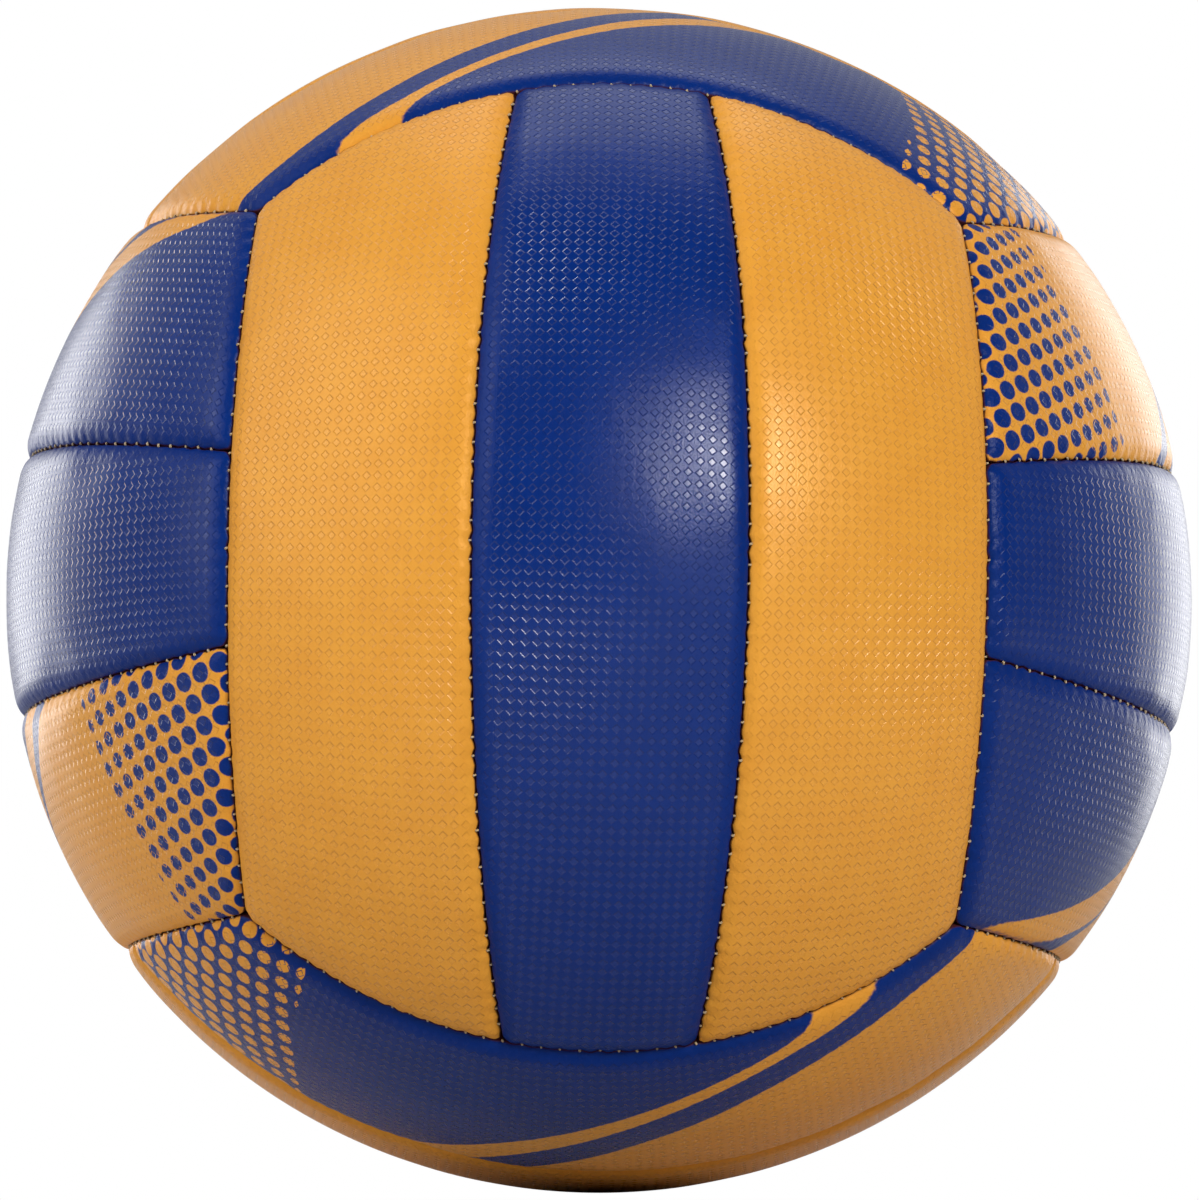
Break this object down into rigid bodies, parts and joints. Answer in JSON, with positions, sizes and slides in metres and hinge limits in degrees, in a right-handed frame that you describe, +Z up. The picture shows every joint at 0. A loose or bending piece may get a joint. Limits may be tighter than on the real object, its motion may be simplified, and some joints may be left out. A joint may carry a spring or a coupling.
{
  "type": "volleyball",
  "caption": "Sewn volleyball of strip panels in groups of three at right angles, blue and gold, over a rubber bladder with a needle valve.",
  "frame": {"origin": "centre of the ball", "axes": "+Z up; -Y is the middle of the front group, whose strips stand upright; +Y is the valve's axis, pointing out of the back group; +X is the middle of the right group"},
  "size_m": [0.21, 0.2099, 0.21],
  "materials": {
    "cover_gold": "embossed synthetic leather, pearly gold, half gloss",
    "cover_blue": "embossed synthetic leather, blue, half gloss",
    "cover_printed": "embossed synthetic leather printed in blue and gold, with dots fading at one end and curved stripes at the other",
    "foam": "closed-cell EVA foam",
    "lining_cloth": "woven polyester and cotton cloth",
    "thread": "bonded polyester sewing thread",
    "butyl": "moulded butyl rubber",
    "plug_rubber": "soft latex rubber"
  },
  "bodies": {
    "root": {"panel_front_left": "cover_gold", "panel_front_middle": "cover_blue", "panel_front_right": "cover_gold", "panel_back_left": "cover_gold", "panel_back_middle": "cover_blue", "panel_back_right": "cover_gold", "panel_left_top": "cover_printed", "panel_left_middle": "cover_blue", "panel_left_bottom": "cover_printed", "panel_right_top": "cover_printed", "panel_right_middle": "cover_blue", "panel_right_bottom": "cover_printed", "panel_top_front": "cover_printed", "panel_top_middle": "cover_gold", "panel_top_back": "cover_printed", "panel_bottom_front": "cover_printed", "panel_bottom_middle": "cover_gold", "panel_bottom_back": "cover_printed", "foam_front_left": "foam", "foam_front_middle": "foam", "foam_front_right": "foam", "foam_back_left": "foam", "foam_back_middle": "foam", "foam_back_right": "foam", "foam_left_top": "foam", "foam_left_middle": "foam", "foam_left_bottom": "foam", "foam_right_top": "foam", "foam_right_middle": "foam", "foam_right_bottom": "foam", "foam_top_front": "foam", "foam_top_middle": "foam", "foam_top_back": "foam", "foam_bottom_front": "foam", "foam_bottom_middle": "foam", "foam_bottom_back": "foam", "lining_front": "lining_cloth", "lining_back": "lining_cloth", "lining_left": "lining_cloth", "lining_right": "lining_cloth", "lining_top": "lining_cloth", "lining_bottom": "lining_cloth", "seam_thread_front": "thread", "seam_thread_back": "thread", "seam_thread_left": "thread", "seam_thread_right": "thread", "seam_thread_top": "thread", "seam_thread_bottom": "thread", "bladder": "butyl", "valve_patch": "butyl", "valve_housing": "butyl", "valve_plug": "plug_rubber"}
  },
  "joints": []
}
